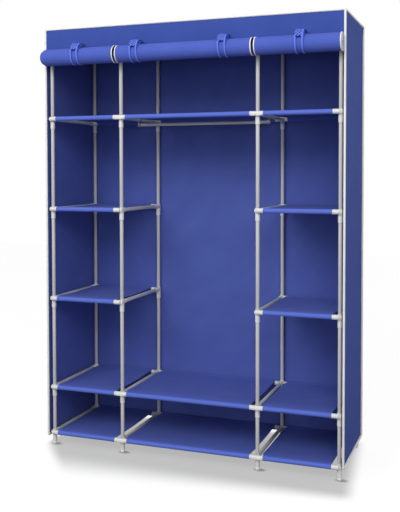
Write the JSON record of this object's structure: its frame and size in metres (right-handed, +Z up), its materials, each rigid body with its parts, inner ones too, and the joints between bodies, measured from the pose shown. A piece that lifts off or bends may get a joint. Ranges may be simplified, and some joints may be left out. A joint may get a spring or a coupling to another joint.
{
  "type": "portable fabric wardrobe",
  "caption": "Tall open-fronted cloth wardrobe on a tube frame, with side shelves, a middle bay with a hanging rail, and front doors rolled up and tied under the top.",
  "frame": {"origin": "on the floor, under the middle of the outer box", "axes": "+X to the right seen from the front, +Y to the back, +Z up"},
  "size_m": [1.2712, 0.4936, 1.7639],
  "materials": {
    "frame_tube": "satin grey tube with white moulded connectors",
    "rod_tube": "satin grey tube",
    "clip_plastic": "white, moulded",
    "shelf_cloth": "blue non-woven cloth",
    "cover_cloth": "blue non-woven cloth",
    "door_cloth": "blue non-woven cloth, rolled",
    "tie_ribbon": "light blue ribbon",
    "binding_tape": "cream white woven tape"
  },
  "bodies": {
    "wardrobe": {"side_frame_left": "frame_tube", "divider_frame_left": "frame_tube", "divider_frame_right": "frame_tube", "side_frame_right": "frame_tube", "top_frame": "frame_tube", "rod_front_left_1": "rod_tube", "rod_rear_left_1": "rod_tube", "shelf_left_1": "shelf_cloth", "rod_front_left_2": "rod_tube", "rod_rear_left_2": "rod_tube", "shelf_left_2": "shelf_cloth", "rod_front_left_3": "rod_tube", "rod_rear_left_3": "rod_tube", "shelf_left_3": "shelf_cloth", "rod_front_left_4": "rod_tube", "rod_rear_left_4": "rod_tube", "shelf_left_4": "shelf_cloth", "rod_front_left_5": "rod_tube", "rod_rear_left_5": "rod_tube", "shelf_left_5": "shelf_cloth", "rod_front_centre_1": "rod_tube", "rod_rear_centre_1": "rod_tube", "shelf_centre_1": "shelf_cloth", "rod_front_centre_2": "rod_tube", "rod_rear_centre_2": "rod_tube", "shelf_centre_2": "shelf_cloth", "rod_front_centre_5": "rod_tube", "rod_rear_centre_5": "rod_tube", "shelf_centre_5": "shelf_cloth", "rod_front_right_1": "rod_tube", "rod_rear_right_1": "rod_tube", "shelf_right_1": "shelf_cloth", "rod_front_right_2": "rod_tube", "rod_rear_right_2": "rod_tube", "shelf_right_2": "shelf_cloth", "rod_front_right_3": "rod_tube", "rod_rear_right_3": "rod_tube", "shelf_right_3": "shelf_cloth", "rod_front_right_4": "rod_tube", "rod_rear_right_4": "rod_tube", "shelf_right_4": "shelf_cloth", "rod_front_right_5": "rod_tube", "rod_rear_right_5": "rod_tube", "shelf_right_5": "shelf_cloth", "cover_left": "cover_cloth", "cover_right": "cover_cloth", "cover_back": "cover_cloth", "cover_top": "cover_cloth", "cover_header": "cover_cloth", "edge_binding": "binding_tape", "door_roll_left": "door_cloth", "door_roll_centre": "door_cloth", "door_roll_right": "door_cloth", "roll_tie_left": "tie_ribbon", "roll_tie_centre_left": "tie_ribbon", "roll_tie_centre_right": "tie_ribbon", "roll_tie_right": "tie_ribbon"},
    "rail": {"hanging_rail": "rod_tube", "rail_clip_left": "clip_plastic", "rail_clip_right": "clip_plastic"}
  },
  "joints": [
    {"name": "rail_slide", "type": "slide", "parent": "wardrobe", "child": "rail", "axis": [0, 1, 0], "range_m": [-0.14, 0.155]}
  ]
}
